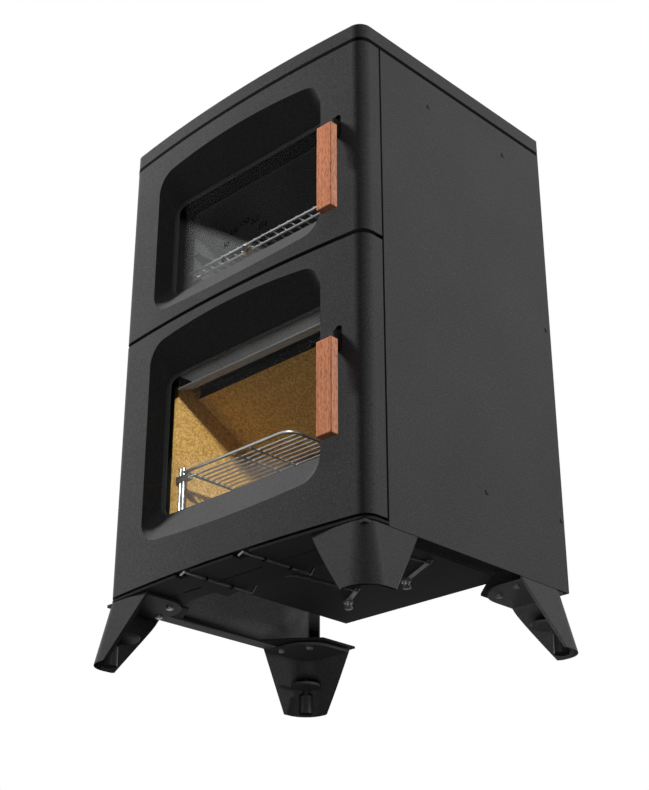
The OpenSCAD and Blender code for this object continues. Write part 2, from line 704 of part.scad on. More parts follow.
// Catch of each door: two ears on the front frame with a roller between them
function roller_z(top) = top + pivot_up + 4;
module catch_ears() color(bare) place() for (top = [oven_grip_top, fire_grip_top], s = [-1, 1])
    slab(grip_x + s * (ear_in + 1.5) - 1.5, grip_x + s * (ear_in + 1.5) + 1.5, catch_y - 7, frame_y,
        roller_z(top) - 8, roller_z(top) + 8);
module catch_rollers() color(bare) place() for (top = [oven_grip_top, fire_grip_top])
    translate([grip_x - ear_in, catch_y, roller_z(top)]) rotate([0, 90, 0])
        cylinder(r = catch_r, h = 2 * ear_in);

module oven_door() color(painted) place()
    door_panel(oven_z0, oven_z1, oven_recess, oven_sight, oven_grip_top);
module oven_glass() color(clear) place() difference() {
    window_glass(oven_sight);
    translate([gauge_at[0], glass_y - cut, gauge_at[1]]) rotate([-90, 0, 0])
        cylinder(r = 4, h = glass_t + 2 * cut);
}
module oven_glass_frame() color(cast) place()
    glass_frame(oven_sight, [mouth_oven[0] - rope - 8, mouth_oven[1] + rope + 8]);
module oven_seal() color(cast) place() door_seal(mouth_oven[0] - 3, mouth_oven[1] + 3);
module oven_lever_pin() color(bare) place() lever_pin(oven_grip_top);
module oven_lever() color(bare) place() handle_lever(oven_grip_top);
module oven_grip() color(wood) place() wood_grip(oven_grip_top);

// Thermometer: chrome ring in front of the glass, nut and coil case behind it, needle on the ring
module thermometer_bezel() color(bare) place() translate([gauge_at[0], glass_y, gauge_at[1]])
    rotate([90, 0, 0]) difference() {
        union() {
            cylinder(r = 7.5, h = 1.6);
            translate([0, 0, -glass_t - 3]) cylinder(r = 3.9, h = glass_t + 4);
        }
        translate([0, 0, -glass_t - 4]) cylinder(r = 1.5 + run_gap, h = glass_t + 6);
    }
module thermometer_nut() color(brass) place()
    translate([gauge_at[0], glass_y + glass_t, gauge_at[1]]) rotate([-90, 0, 0]) difference() {
        union() {
            cylinder(r = 11, h = 5, $fn = 6);
            translate([0, 0, 5]) cylinder(r = 9, h = 6);
        }
        translate([0, 0, -cut]) cylinder(r = 3.9, h = 5);
        translate([0, 0, -cut]) cylinder(r = 2.6, h = 10);
    }
module thermometer_needle() color(dark) place() translate([gauge_at[0], glass_y, gauge_at[1]])
    rotate([90, 0, 0]) {
        translate([0, 0, -glass_t - 5]) cylinder(r = 1.5, h = glass_t + 7.5);
        translate([0, 0, 1.6 + ear]) cylinder(r = 5, h = 1.2);
        translate([0, 0, 1.6 + ear]) linear_extrude(0.8)
            polygon([[14, -2], [14, 2], [0, 3], [-36, 1.2], [-44, 0], [-36, -1.2], [0, -3]]);
    }

module fire_door() color(painted) place()
    door_panel(fire_z0, fire_z1, fire_recess, fire_sight, fire_grip_top);
module fire_glass() color(clear) place() window_glass(fire_sight);
module fire_glass_frame() color(cast) place()
    glass_frame(fire_sight, [ash_z - rope - 8, mouth_fire[1] + rope + 8]);
module fire_seal() color(cast) place() door_seal(ash_z - 3, mouth_fire[1] + 3);
module fire_lever_pin() color(bare) place() lever_pin(fire_grip_top);
module fire_lever() color(bare) place() handle_lever(fire_grip_top);
module fire_grip() color(wood) place() wood_grip(fire_grip_top);

// Round wire through a list of points, slightly thicker where it is bent
module wire(points, r) for (i = [0:len(points) - 1]) {
    if (i > 0) translate(points[i]) sphere(r = r + 0.25, $fn = 32);
    if (i > 0) {
        run = points[i] - points[i - 1];
        translate(points[i - 1]) rotate([0, acos(run[2] / norm(run)), atan2(run[1], run[0])])
            cylinder(r = r, h = norm(run), $fn = 32);
    }
}

// Air rod: wire bent to a finger pull in front, then back and up to the pin that moves a damper
module air_rod(x, end) color(bare) place() {
    reach_z = damper_z - rod_r - 1.2;
    wire([[x - 15, -3, rod_z], [x, -9, rod_z], [x, 138, rod_z], [x, 160, reach_z - 1],
        [end[0] - 16, end[1] - 132, reach_z], [end[0], end[1], reach_z]], rod_r);
    translate([end[0], end[1], reach_z]) cylinder(r = rod_pin_r, h = rod_r + 1.2 + damper_t + 1);
}
module primary_air_rod() air_rod(rod_x[0], rod_end[0]);
module secondary_air_rod() air_rod(rod_x[1], rod_end[1]);

// Guides that carry the two air rods under the base plate
module rod_guides() color(dark) place() for (x = rod_x, y = [36, 92]) difference() {
    slab(x - 4, x + 4, y, y + 2.5, rod_z - 3.4, base_z);
    translate([x, y - cut, rod_z]) rotate([-90, 0, 0]) cylinder(r = rod_r + run_gap, h = 3 + 2 * cut);
}

// Damper: narrow arm with a slotted eye at the rod's pin and a tail behind its pivot
module damper(i, tail) color(bare) place() translate([damper_at[i][0], damper_at[i][1], damper_z])
    linear_extrude(damper_t) {
        out = rod_end[i] - damper_at[i];
        slot = [norm(out + [0, rod_travel]) - 0.8, norm(out) + 0.8];
        eye = rod_pin_r + 0.8;
        rotate(atan2(out[1], out[0])) difference() {
            union() {
                circle(r = 9);
                translate([0, -4.5]) square([slot[1], 9]);
                translate([slot[1], 0]) circle(r = eye + 2.2);
                rotate(tail) {
                    translate([0, -3.5]) square([42, 7]);
                    translate([42, 0]) circle(r = 3.5);
                }
            }
            circle(r = 3 + run_gap);
            union() {
                translate([slot[0], -eye]) square([slot[1] - slot[0], 2 * eye]);
                for (e = slot) translate([e, 0]) circle(r = eye);
            }
        }
    }
module damper_left() damper(0, 160);
module damper_right() damper(1, 150);

// Shouldered screws with springs and nuts that carry the dampers
module damper_pivots() color(bare) place() for (p = damper_at) translate([p[0], p[1], damper_z]) {
    translate([0, 0, -14]) cylinder(r = 3, h = 14 + ash_z - damper_z);
    translate([0, 0, -3.3]) cylinder(r = 8, h = 3);
    translate([0, 0, -14]) cylinder(r = 7, h = 5, $fn = 6);
    for (i = [0:3]) translate([0, 0, -8.5 + i * 1.5]) rotate_extrude($fn = 32)
        translate([4.6, 0]) circle(r = 0.8, $fn = 16);
    translate([0, 0, damper_t + ear]) cylinder(r = 6, h = ash_z - damper_z - damper_t - ear);
}

top_plate();
flue_collar();
side_panel_left();
side_panel_right();
panel_plugs();
back_panel();
base_frame();
front_frame();
case_left();
case_right();
case_back();
case_top_plate();
hearth_shelf();
ash_box();
oven_liner();
oven_rail_left();
oven_rail_right();
oven_rack();
fire_brick_left();
fire_brick_right();
fire_brick_back();
baffle();
air_wash_deflector();
fire_grate();
ash_pan();
grill();
grill_post();
leg_front_left();
leg_front_right();
leg_rear_left();
leg_rear_right();
levelling_feet();
leg_screws();
hinge_plate();
hinge_pins();
catch_ears();
catch_rollers();
oven_door();
oven_glass();
oven_glass_frame();
oven_seal();
oven_lever_pin();
oven_lever();
oven_grip();
thermometer_bezel();
thermometer_nut();
thermometer_needle();
fire_door();
fire_glass();
fire_glass_frame();
fire_seal();
fire_lever_pin();
fire_lever();
fire_grip();
primary_air_rod();
secondary_air_rod();
rod_guides();
damper_left();
damper_right();
damper_pivots();
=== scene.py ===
import math
import bmesh
import bpy
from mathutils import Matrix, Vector


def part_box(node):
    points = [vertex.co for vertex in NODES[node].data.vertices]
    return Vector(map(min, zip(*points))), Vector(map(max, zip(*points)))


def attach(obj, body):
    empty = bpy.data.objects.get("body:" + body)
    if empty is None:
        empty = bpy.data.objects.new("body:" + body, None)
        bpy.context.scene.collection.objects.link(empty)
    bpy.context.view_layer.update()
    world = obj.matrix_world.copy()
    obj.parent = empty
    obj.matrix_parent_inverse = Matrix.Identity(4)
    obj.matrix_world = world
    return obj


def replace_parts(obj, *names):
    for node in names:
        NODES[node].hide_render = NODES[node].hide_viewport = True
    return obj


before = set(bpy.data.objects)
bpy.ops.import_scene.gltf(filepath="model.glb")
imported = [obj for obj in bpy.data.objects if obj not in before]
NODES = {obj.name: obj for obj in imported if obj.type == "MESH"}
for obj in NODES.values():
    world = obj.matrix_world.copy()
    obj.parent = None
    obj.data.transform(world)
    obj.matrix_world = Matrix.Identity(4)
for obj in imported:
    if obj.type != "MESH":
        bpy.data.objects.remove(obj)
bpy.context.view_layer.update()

SCENE = bpy.context.scene
MID_Y = 0.2465                      # depth of the model's origin behind the bowed front


# Materials

MIX_FACTOR, MIX_A, MIX_B, MIX_RESULT = 0, 6, 7, 2       # colour sockets of Blender's Mix node


class Mat:
    """A node-based material with short helpers for its nodes."""

    def __init__(self, name):
        self.mat = bpy.data.materials.new(name)
        self.mat.use_nodes = True
        self.nt = self.mat.node_tree
        self.bsdf = self.nt.nodes["Principled BSDF"]
        self.out = self.nt.nodes["Material Output"]
        self.coords = self.add("ShaderNodeTexCoord").outputs
        self.coord = self.coords["Object"]

    def add(self, kind, **inputs):
        node = self.nt.nodes.new(kind)
        for key, value in inputs.items():
            node.inputs[key.replace("_", " ")].default_value = value
        return node

    def link(self, a, b):
        self.nt.links.new(a, b)

    def fill(self, socket, value):
        """Sets a socket to a number or a colour, or links an output to it."""
        if isinstance(value, (int, float)):
            socket.default_value = value
        elif isinstance(value, tuple):
            socket.default_value = value + (1,)
        else:
            self.link(value, socket)

    def stretch(self, scale):
        node = self.add("ShaderNodeMapping", Scale=scale)
        self.link(self.coord, node.inputs["Vector"])
        return node.outputs["Vector"]

    def axes(self, vector):
        node = self.add("ShaderNodeSeparateXYZ")
        self.link(vector, node.inputs[0])
        return node.outputs

    def noise(self, scale, detail=3.0, rough=0.5, where=None):
        node = self.add("ShaderNodeTexNoise", Scale=scale, Detail=detail, Roughness=rough)
        self.link(where or self.coord, node.inputs["Vector"])
        return node.outputs["Fac"]

    def cells(self, scale, where=None, out="Distance"):
        node = self.add("ShaderNodeTexVoronoi", Scale=scale)
        self.link(where or self.coord, node.inputs["Vector"])
        return node.outputs[out]

    def grey(self, fac, low, high):
        """Turns a factor into a grey between two stops, each a position and a level."""
        node = self.add("ShaderNodeValToRGB")
        for stop, (position, level) in zip(node.color_ramp.elements, (low, high)):
            stop.position = position
            stop.color = (level, level, level, 1)
        self.link(fac, node.inputs["Fac"])
        return node.outputs["Color"]

    def patches(self, scale):
        """Soft dark and light patches."""
        return self.grey(self.noise(scale), (0.3, 0.0), (0.7, 1.0))

    def mix(self, fac, a, b, kind="MIX"):
        node = self.add("ShaderNodeMix")
        node.data_type = "RGBA"
        node.blend_type = kind
        for socket, value in ((MIX_FACTOR, fac), (MIX_A, a), (MIX_B, b)):
            self.fill(node.inputs[socket], value)
        return node.outputs[MIX_RESULT]

    def mix_shader(self, fac, a, b):
        node = self.add("ShaderNodeMixShader")
        for socket, source in zip(node.inputs, (fac, a, b)):
            self.link(source, socket)
        return node.outputs[0]

    def math(self, kind, a, b):
        node = self.add("ShaderNodeMath")
        node.operation = kind
        for socket, value in zip(node.inputs, (a, b)):
            self.fill(socket, value)
        return node.outputs[0]

    def bump(self, height, strength, distance, after=None):
        node = self.add("ShaderNodeBump", Strength=strength, Distance=distance)
        self.link(height, node.inputs["Height"])
        if after:
            self.link(after, node.inputs["Normal"])
        return node.outputs["Normal"]

    def surface(self, color, rough, normal=None, metallic=None, specular=None):
        for key, value in (("Base Color", color), ("Roughness", rough), ("Normal", normal),
                           ("Metallic", metallic), ("Specular IOR Level", specular)):
            if value is not None:
                self.fill(self.bsdf.inputs[key], value)
        return self.mat


def scaled(tone, share):
    """A colour made darker or lighter."""
    return tuple(share * t for t in tone)


def paint(name, tone, fleck, rough=0.55, grain=0.35, gloss=0.04):
    """Matt stove paint: fine grain, sparse light flecks and slow tone drift."""
    m = Mat(name)
    fine = m.noise(900, 2, 0.6)
    base = m.mix(m.patches(6), scaled(tone, 0.88), tone)
    grit = m.grey(m.noise(430, 3, 0.75), (0.30, 0.0), (0.70, 1.0))
    base = m.mix(grit, m.mix(1.0, base, (0.60, 0.60, 0.60), "MULTIPLY"),
                 m.mix(1.0, base, (1.40, 1.40, 1.40), "MULTIPLY"))
    spots = m.grey(m.cells(640), (0.16, 1.0), (0.30, 0.0))
    pick = m.grey(m.noise(260, 1), (0.50, 0.0), (0.60, 1.0))
    color = m.mix(m.math("MULTIPLY", m.math("MULTIPLY", spots, pick), 0.45), base, fleck)
    dull = m.grey(fine, (0.25, rough - 0.06), (0.75, rough + 0.08))
    normal = m.bump(fine, grain, 0.0006, m.bump(m.noise(40, 3), 0.05, 0.002))
    return m.surface(color, dull, normal, specular=gloss)


def steel(name, tone, rough):
    """Bare or plated steel with fine drawing lines and darker patches."""
    m = Mat(name)
    lines = m.noise(120, 4, 0.6, m.stretch((1, 60, 60)))
    patches = m.grey(m.noise(35, 4), (0.35, 0.0), (0.7, 1.0))
    color = m.mix(patches, tone, scaled(tone, 0.72))
    dull = m.grey(lines, (0.2, rough - 0.08), (0.8, rough + 0.12))
    return m.surface(color, dull, m.bump(lines, 0.12, 0.0004), metallic=0.92)


def grip_wood():
    """Oiled reddish beech: long grain, short dark pores and slow colour bands."""
    m = Mat("oiled_wood")
    bands = m.grey(m.noise(14, 4, 0.6, m.stretch((6, 6, 0.8))), (0.3, 0), (0.7, 1))
    rings = m.add("ShaderNodeTexWave", Scale=38, Distortion=5.5, Detail=3)
    rings.bands_direction = "X"
    m.link(m.stretch((1.0, 1.4, 0.12)), rings.inputs["Vector"])
    pores = m.grey(m.cells(420, m.stretch((1, 1, 0.20))), (0.12, 1.0), (0.34, 0.0))
    fibre = m.noise(520, 4, 0.75, m.stretch((1, 1, 0.16)))
    light = m.grey(fibre, (0.42, 0.0), (0.62, 1.0))
    color = m.mix(bands, (0.44, 0.160, 0.075), (0.30, 0.095, 0.042))
    color = m.mix(m.math("MULTIPLY", rings.outputs["Fac"], 0.35), color, (0.17, 0.045, 0.020))
    color = m.mix(m.math("MULTIPLY", light, 0.7), color, (0.60, 0.28, 0.16))
    color = m.mix(m.math("MULTIPLY", pores, 0.80), color, (0.09, 0.025, 0.012))
    dull = m.grey(fibre, (0.3, 0.42), (0.7, 0.62))
    relief = m.math("SUBTRACT", fibre, pores)
    return m.surface(color, dull, m.bump(relief, 0.35, 0.0005), specular=0.2)


def fire_board(name, soot_edge=None):
    """Pressed vermiculite: gold flakes with dark gaps, and small bright flakes that are painted glints.

    Faces that look to the front are sooted as far back as the edge that is given, with light specks on
    the soot that are painted glints.
    """
    m = Mat(name)
    flakes = m.grey(m.cells(330, out="Color"), (0.1, 0.0), (0.9, 1.0))
    painted_glint_flakes = m.grey(m.cells(700, out="Color"), (0.35, 0.0), (0.9, 1.0))
    gaps = m.grey(m.noise(290, 3, 0.7), (0.34, 1.0), (0.46, 0.0))
    color = m.mix(flakes, (0.42, 0.195, 0.040), (0.92, 0.55, 0.155))
    # Painted glints: small bright gold flakes.
    color = m.mix(m.math("MULTIPLY", painted_glint_flakes, 0.5), color, (0.98, 0.69, 0.26))
    color = m.mix(m.math("MULTIPLY", gaps, 0.55), color, (0.14, 0.065, 0.014))
    if soot_edge is not None:
        near = m.math("LESS_THAN", m.axes(m.coord)["Y"], soot_edge)
        ahead = m.math("MULTIPLY", m.axes(m.coords["Normal"])["Y"], -1.0)
        front = m.math("MULTIPLY", m.grey(ahead, (0.45, 0.0), (0.55, 1.0)), near)
        # Painted glints: light grey specks on the sooted front.
        painted_glint_specks = m.grey(m.cells(150), (0.10, 1.0), (0.16, 0.0))
        color = m.mix(front, color, m.mix(painted_glint_specks, (0.010, 0.011, 0.013), (0.55, 0.57, 0.60)))
    normal = m.bump(m.cells(330), 0.5, 0.0008, m.bump(m.noise(60, 4), 0.2, 0.002))
    return m.surface(color, 0.8, normal, specular=0.25)


def rope_seal():
    """Woven glass rope: diagonal strands."""
    m = Mat("rope_seal")
    weave = m.add("ShaderNodeTexWave", Scale=55, Distortion=1.2, Detail=2)
    weave.bands_direction = "DIAGONAL"
    m.link(m.coord, weave.inputs["Vector"])
    color = m.mix(weave.outputs["Fac"], (0.02, 0.02, 0.02), (0.10, 0.10, 0.10))
    return m.surface(color, 0.9, m.bump(weave.outputs["Fac"], 0.8, 0.002))


def cast_iron(name, tone):
    """Sand-cast iron: coarse bumps and slow dark patches."""
    m = Mat(name)
    sand = m.noise(260, 4, 0.7)
    color = m.mix(m.patches(18), tone, scaled(tone, 0.6))
    dull = m.grey(sand, (0.3, 0.5), (0.7, 0.75))
    return m.surface(color, dull, m.bump(sand, 0.5, 0.0012), metallic=0.3)


def printed_black(name, tone):
    """Flat black, slightly uneven: print, and painted shade."""
    m = Mat(name)
    color = m.mix(m.patches(220), tone, scaled(tone, 1.8))
    dull = m.grey(m.noise(300), (0.3, 0.55), (0.7, 0.7))
    return m.surface(color, dull, specular=0.0)


PANE_HALF = 0.2                     # from a pane's middle to its left side


def window_glass(name, haze, painted_light_level, left, middle):
    """Clear pane, glossier at a low angle, faintly hazy, and with painted light below a slanted line: a
    pale mottled film that stands in for the lit inside seen through the pane.

    The line is given by its heights at the pane's left side and at its middle.
    """
    m = Mat(name)
    through = m.add("ShaderNodeBsdfTransparent", Color=(0.93, 0.94, 0.93, 1))
    gloss = m.add("ShaderNodeBsdfGlossy", Color=(1, 1, 1, 1), Roughness=0.03)
    film = m.add("ShaderNodeBsdfDiffuse", Color=(0.75, 0.76, 0.76, 1))
    fresnel = m.add("ShaderNodeFresnel", IOR=1.25).outputs[0]
    outer = m.math("SUBTRACT", 1.0, m.add("ShaderNodeNewGeometry").outputs["Backfacing"])
    shine = m.math("MULTIPLY", m.math("MULTIPLY", fresnel, 0.20), outer)
    # Painted light: below the slanted line a pale mottled film covers the pane and stands in for the lit
    # inside seen through it.
    spot = m.axes(m.coord)
    line = m.math("MULTIPLY", m.math("ADD", spot["X"], PANE_HALF), (middle - left) / PANE_HALF)
    below = m.math("SUBTRACT", m.math("ADD", line, left), spot["Z"])
    painted_light_mask = m.grey(m.math("MULTIPLY", below, 10.0), (0.0, 0.0), (0.22, 1.0))   # full after 22 mm
    painted_light_mottle = m.grey(m.noise(45, 4, 0.6), (0.25, 0.75 * painted_light_level), (0.75, painted_light_level))
    haze_and_painted_light = m.grey(m.noise(9, 4, 0.6), (0.35, 0.0), (0.8, haze))
    haze_and_painted_light = m.math("ADD", haze_and_painted_light, m.math("MULTIPLY", painted_light_mask, painted_light_mottle))
    pane = m.mix_shader(shine, through.outputs[0], gloss.outputs[0])
    m.link(m.mix_shader(haze_and_painted_light, pane, film.outputs[0]), m.out.inputs["Surface"])
    m.nt.nodes.remove(m.bsdf)
    return m.mat


SOOT_DEPTH = 0.03                   # how far back the baffle's front edge is sooted

BODY = paint("stove_paint", (0.050, 0.050, 0.051), (0.20, 0.20, 0.20))
# Painted shade: the stove paint made darker for the parts under the stove and the frame in the gaps
# between the doors.
UNDER = paint("underside_painted_shade", (0.012, 0.012, 0.013), (0.05, 0.05, 0.05), rough=0.6)
LEG = paint("leg_paint", (0.036, 0.036, 0.037), (0.12, 0.12, 0.12), rough=0.42, grain=0.2)
INSIDE = paint("oven_enamel", (0.050, 0.051, 0.052), (0.060, 0.060, 0.060), rough=0.5, grain=0.04)
GALVANISED = paint("galvanised", (0.42, 0.42, 0.43), (0.60, 0.60, 0.60), rough=0.5, grain=0.1, gloss=0.3)
BLACK = paint("lever_paint", (0.016, 0.016, 0.017), (0.03, 0.03, 0.03), rough=0.4, grain=0.1, gloss=0.3)
RIM = paint("rim_paint", (0.048, 0.049, 0.050), (0.05, 0.05, 0.05), rough=0.5, grain=0.04)
RING = paint("ring_plate", (0.72, 0.72, 0.73), (0.85, 0.85, 0.85), rough=0.3, grain=0.02, gloss=0.5)
CAST = cast_iron("cast_iron", (0.022, 0.022, 0.022))
WIRE = steel("bright_wire", (0.62, 0.62, 0.62), rough=0.28)
ZINC = steel("zinc_plate", (0.50, 0.50, 0.49), rough=0.38)
DULL = steel("dull_plate", (0.34, 0.34, 0.34), rough=0.45)
BRASS = steel("brass", (0.75, 0.52, 0.22), rough=0.25)
WOOD = grip_wood()
BOARD = fire_board("fire_board")
BAFFLE = fire_board("baffle_board", soot_edge=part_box("baffle")[0][1] + SOOT_DEPTH)
ROPE = rope_seal()
# The lower left of each pane gets painted light, a pale film that stands in for the lit inside behind
# it.
GLASS_OVEN = window_glass("oven_pane", haze=0.003, painted_light_level=0.062, left=0.850, middle=0.712)
GLASS_FIRE = window_glass("fire_pane", haze=0.004, painted_light_level=0.05, left=0.36, middle=0.30)
PRINT = printed_black("printed_black", (0.0012, 0.0012, 0.0012))
# Black for painted shade: the shadow in the gap under the top plate.
PAINTED_GAP_SHADE = printed_black("gap_painted_shade", (0.006, 0.006, 0.006))

LOOKS = {
    BODY: ["top_plate", "side_panel_left", "side_panel_right", "panel_plugs", "back_panel",
           "oven_door", "fire_door"],
    # Parts that take the darker paint, which is painted shade under the stove and between the doors.
    UNDER: ["base_frame", "front_frame", "case_left", "case_right", "case_back", "case_top_plate",
            "hearth_shelf", "ash_box", "ash_pan", "hinge_plate", "rod_guides"],
    LEG: ["leg_front_left", "leg_front_right", "leg_rear_left", "leg_rear_right"],
    INSIDE: ["oven_liner", "oven_rail_left", "oven_rail_right"],
    GALVANISED: ["air_wash_deflector"],
    CAST: ["flue_collar", "fire_grate"],
    WIRE: ["oven_rack", "grill", "grill_post"],
    ZINC: ["leg_screws", "hinge_pins", "catch_ears", "catch_rollers", "oven_lever_pin",
           "fire_lever_pin", "damper_pivots"],
    DULL: ["damper_left", "damper_right", "primary_air_rod", "secondary_air_rod"],
    BLACK: ["oven_lever", "fire_lever", "levelling_feet", "thermometer_needle"],
    RIM: ["oven_glass_frame", "fire_glass_frame"],
    BAFFLE: ["baffle"],
    RING: ["thermometer_bezel"],
    BRASS: ["thermometer_nut"],
    WOOD: ["oven_grip", "fire_grip"],
    BOARD: ["fire_brick_left", "fire_brick_right", "fire_brick_back"],
    ROPE: ["oven_seal", "fire_seal"],
    GLASS_OVEN: ["oven_glass"],
    GLASS_FIRE: ["fire_glass"],
}
for look, names in LOOKS.items():
    for name in names:
        materials = NODES[name].data.materials
        materials.clear()
        materials.append(look)


# Ways to make and place a piece

def at(x, y, z):
    """A point in millimetres, with its depth from the bowed front, in the model's metres."""
    return Vector((x / 1000, y / 1000 - MID_Y, z / 1000))


def add_piece(name, data, look, body, place=(0, 0, 0), turn=(0, 0, 0)):
    """A piece with one look that rides on a body."""
    data.materials.append(look)
    piece = bpy.data.objects.new(name, data)
    piece.location = place
    piece.rotation_euler = turn
    SCENE.collection.objects.link(piece)
    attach(piece, body)
    return piece


def tube(name, points, radius, look, body):
    """A round wire along a line of points."""
    curve = bpy.data.curves.new(name, "CURVE")
    curve.dimensions = "3D"
    curve.bevel_depth = radius
    curve.bevel_resolution = 4
    spline = curve.splines.new("POLY")
    spline.points.add(len(points) - 1)
    for spot, point in zip(spline.points, points):
        spot.co = (*point, 1)
    return add_piece(name, curve, look, body)


def turned(name, profile, place, axis, look, body, sides=32):
    """A solid turned along an axis from (radius, height) pairs in metres."""
    verts, faces = [], []
    for radius, height in profile:
        for k in range(sides):
            turn = 2 * math.pi * k / sides
            verts.append((radius * math.cos(turn), radius * math.sin(turn), height))
    for ring in range(len(profile) - 1):
        for k in range(sides):
            a, b = ring * sides + k, ring * sides + (k + 1) % sides
            faces.append((a, b, b + sides, a + sides))
    last_ring = (len(profile) - 1) * sides
    faces.append(tuple(range(sides - 1, -1, -1)))
    faces.append(tuple(range(last_ring, last_ring + sides)))
    mesh = bpy.data.meshes.new(name)
    mesh.from_pydata(verts, [], faces)
    for face in mesh.polygons:
        face.use_smooth = True
    turn = Vector(axis).to_track_quat("Z", "Y").to_euler()
    piece = add_piece(name, mesh, look, body, place, turn)
    edge = piece.modifiers.new("edges", "EDGE_SPLIT")
    edge.split_angle = math.radians(35)
    return piece


# Numbers round the thermometer, printed on the glass

HUB = at(-9.4, 41.7, 697.9)
NUMBER_RADIUS = 0.054
NUMBER_HEIGHT = 0.0155
NUMBER_THICKNESS = 0.00005
DIAL_TOP, DIAL_STEP = 300, 50
ANGLE_STEP = 30                     # from number to number, clockwise from the left

for i, heat in enumerate(range(0, DIAL_TOP + DIAL_STEP, DIAL_STEP)):
    number = str(heat)
    angle = math.radians(180 - ANGLE_STEP * i)
    curve = bpy.data.curves.new("dial_" + number, "FONT")
    curve.body = number
    curve.size = NUMBER_HEIGHT
    curve.align_x = "CENTER"
    curve.align_y = "CENTER"
    curve.extrude = NUMBER_THICKNESS
    add_piece("dial_" + number, curve, PRINT, "oven_door",
              HUB + Vector((math.cos(angle), 0, math.sin(angle))) * NUMBER_RADIUS,
              (math.pi / 2, 0, 0))


# Painted shade: a black strip in the gap under the top plate, where a shadow falls, in millimetres

HALF_W, DEPTH = 300.0, 507.0        # the body, from above
CORNER, BOW = 23.0, 2801.0          # radii of its front corners and of its bowed front
REAR_GAP = 4.0
PAINTED_GAP_SHADE_LOW, PAINTED_GAP_SHADE_HIGH = 972.2, 979.4
PAINTED_GAP_SHADE_OUT, PAINTED_GAP_SHADE_IN = 0.4, -0.6     # how far the strip stands out of the outline and into it
CORNER_STEPS, BOW_STEPS = 12, 32


def outline(grow):
    """The stove's outline from above, from its rear left round the front to its rear right."""
    cx = HALF_W - CORNER
    cy = BOW - math.sqrt((BOW - CORNER) ** 2 - cx ** 2)
    lean = math.atan2(cx, BOW - cy)
    r = CORNER + grow
    left = [(-HALF_W - grow, DEPTH - REAR_GAP)]
    for k in range(CORNER_STEPS + 1):
        turn = math.pi + (math.pi / 2 - lean) * k / CORNER_STEPS
        left.append((-cx + r * math.cos(turn), cy + r * math.sin(turn)))
    front = []
    for k in range(1, BOW_STEPS):
        turn = -lean + 2 * lean * k / BOW_STEPS
        front.append(((BOW + grow) * math.sin(turn), BOW - (BOW + grow) * math.cos(turn)))
    return left + front + [(-x, y) for x, y in reversed(left)]


def joint_strip():
    """A thin black strip set into the outline, painted shade for the shadow in the gap under the top
    plate.
    """
    verts, faces = [], []
    for (ox, oy), (ix, iy) in zip(outline(PAINTED_GAP_SHADE_OUT), outline(PAINTED_GAP_SHADE_IN)):
        verts += [at(ox, oy, PAINTED_GAP_SHADE_LOW), at(ox, oy, PAINTED_GAP_SHADE_HIGH),
                  at(ix, iy, PAINTED_GAP_SHADE_HIGH), at(ix, iy, PAINTED_GAP_SHADE_LOW)]
    for k in range(len(verts) // 4 - 1):
        for e in range(4):
            a, b = 4 * k + e, 4 * k + (e + 1) % 4
            faces.append((a, b, b + 4, a + 4))
    faces += [(0, 3, 2, 1), tuple(range(len(verts) - 4, len(verts)))]
    mesh = bpy.data.meshes.new("top_gap_painted_shade")
    mesh.from_pydata(verts, [], faces)
    add_piece("top_gap_painted_shade", mesh, PAINTED_GAP_SHADE, "stove")


joint_strip()


# Pan-head screws that clamp the plates behind the glasses, at some heights on each side of a door

PAN_HEAD = [(0.0039, 0), (0.0040, 0.0008), (0.0036, 0.0018), (0.0024, 0.0024), (0.0010, 0.0024),
            (0.0006, 0.0012)]
CLAMPS = {"oven_door": [666, 720, 774, 828, 880], "fire_door": [165, 255, 345, 435, 522]}
CLAMP_X, CLAMP_Y = 209, 49

for body, heights in CLAMPS.items():
    for i, z in enumerate(heights):
        for letter, side in (("l", -1), ("r", 1)):
            turned(f"{body}_screw_{i}_{letter}", PAN_HEAD, at(side * CLAMP_X, CLAMP_Y, z), (0, 1, 0),
                   ZINC, body)


# Grips: straight-grained bars with narrow bevels, slotted at the back for their levers

GRIP_W, GRIP_T, GRIP_LEN = 33.0, 15.4, 161.0
GRIP_X, GRIP_Y = 248.0, -22.7       # middle of the bar from side to side, and its front face
GRIP_BEVEL = 1.8
SLOT_W, SLOT_DEEP, SLOT_LEN = 8.4, 8.0, 60.0
OVEN_GRIP_TOP, FIRE_GRIP_TOP = 799.0, 401.0


def block(name, size, middle, bevel=None):
    """A block in millimetres, with its edges bevelled if asked."""
    form = bmesh.new()
    bmesh.ops.create_cube(form, size=1.0)
    bmesh.ops.scale(form, vec=Vector(size) / 1000, verts=form.verts)
    if bevel:
        bmesh.ops.bevel(form, geom=form.edges[:], offset=bevel / 1000, segments=3, profile=0.5,
                        affect="EDGES")
    bmesh.ops.translate(form, vec=at(*middle), verts=form.verts)
    mesh = bpy.data.meshes.new(name)
    form.to_mesh(mesh)
    form.free()
    made = bpy.data.objects.new(name, mesh)
    SCENE.collection.objects.link(made)
    return made


def wood_bar(name, top, node, body):
    """A wooden bar that stands for a grip node, with its slot cut by a second block."""
    bar = block(name + "_whole", (GRIP_W, GRIP_T, GRIP_LEN),
                (GRIP_X, GRIP_Y + GRIP_T / 2, top - GRIP_LEN / 2), GRIP_BEVEL)
    slot = block(name + "_slot", (SLOT_W, 2 * SLOT_DEEP, 2 * SLOT_LEN), (GRIP_X, GRIP_Y + GRIP_T, top))
    cut = bar.modifiers.new("slot", "BOOLEAN")
    cut.operation = "DIFFERENCE"
    cut.object = slot
    bpy.context.view_layer.update()
    slotted = bar.evaluated_get(bpy.context.evaluated_depsgraph_get())
    mesh = bpy.data.meshes.new_from_object(slotted)
    mesh.materials.clear()
    for form in (bar, slot):
        bpy.data.objects.remove(form)
    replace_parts(add_piece(name, mesh, WOOD, body), node)


